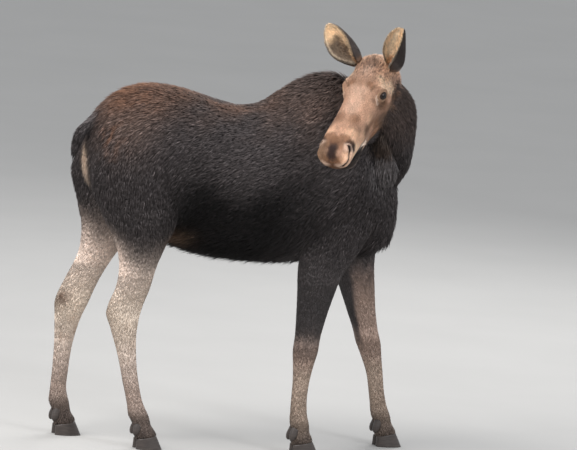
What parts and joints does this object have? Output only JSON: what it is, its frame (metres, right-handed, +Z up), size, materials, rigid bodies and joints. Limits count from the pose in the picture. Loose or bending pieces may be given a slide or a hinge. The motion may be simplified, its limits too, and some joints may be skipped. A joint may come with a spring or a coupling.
{
  "type": "moose",
  "caption": "Life-size standing cow moose, head turned back over the right shoulder, with upright ears, a hanging bell at the throat, long slim legs and cloven hooves.",
  "frame": {"origin": "on the floor, under the middle of the whole model's box", "axes": "+X the way the trunk points, from rump to chest; +Y the animal's left; +Z up"},
  "size_m": [1.7376, 0.8324, 2.0028],
  "materials": {
    "dark_coat": "dense coarse blackish-brown hair with a grey sheen",
    "face_coat": "short reddish-tan hair",
    "leg_coat": "short grey-tan hair",
    "horn": "dark worn hoof horn",
    "eye": "wet dark brown eye"
  },
  "bodies": {
    "root": {"bell": "dark_coat", "ear_left": "face_coat", "ear_right": "face_coat", "eye_left": "eye", "eye_right": "eye", "foreleg_left": "dark_coat", "foreleg_left_cannon": "leg_coat", "foreleg_left_claw_inner": "horn", "foreleg_left_claw_outer": "horn", "foreleg_left_dewclaw_inner": "horn", "foreleg_left_dewclaw_outer": "horn", "foreleg_left_pastern": "leg_coat", "foreleg_right": "dark_coat", "foreleg_right_cannon": "leg_coat", "foreleg_right_claw_inner": "horn", "foreleg_right_claw_outer": "horn", "foreleg_right_dewclaw_inner": "horn", "foreleg_right_dewclaw_outer": "horn", "foreleg_right_pastern": "leg_coat", "head": "face_coat", "hind_leg_left": "leg_coat", "hind_leg_left_cannon": "leg_coat", "hind_leg_left_claw_inner": "horn", "hind_leg_left_claw_outer": "horn", "hind_leg_left_dewclaw_inner": "horn", "hind_leg_left_dewclaw_outer": "horn", "hind_leg_left_pastern": "leg_coat", "hind_leg_right": "leg_coat", "hind_leg_right_cannon": "leg_coat", "hind_leg_right_claw_inner": "horn", "hind_leg_right_claw_outer": "horn", "hind_leg_right_dewclaw_inner": "horn", "hind_leg_right_dewclaw_outer": "horn", "hind_leg_right_pastern": "leg_coat", "lower_jaw": "face_coat", "neck": "dark_coat", "tail": "dark_coat", "trunk": "dark_coat"}
  },
  "joints": []
}
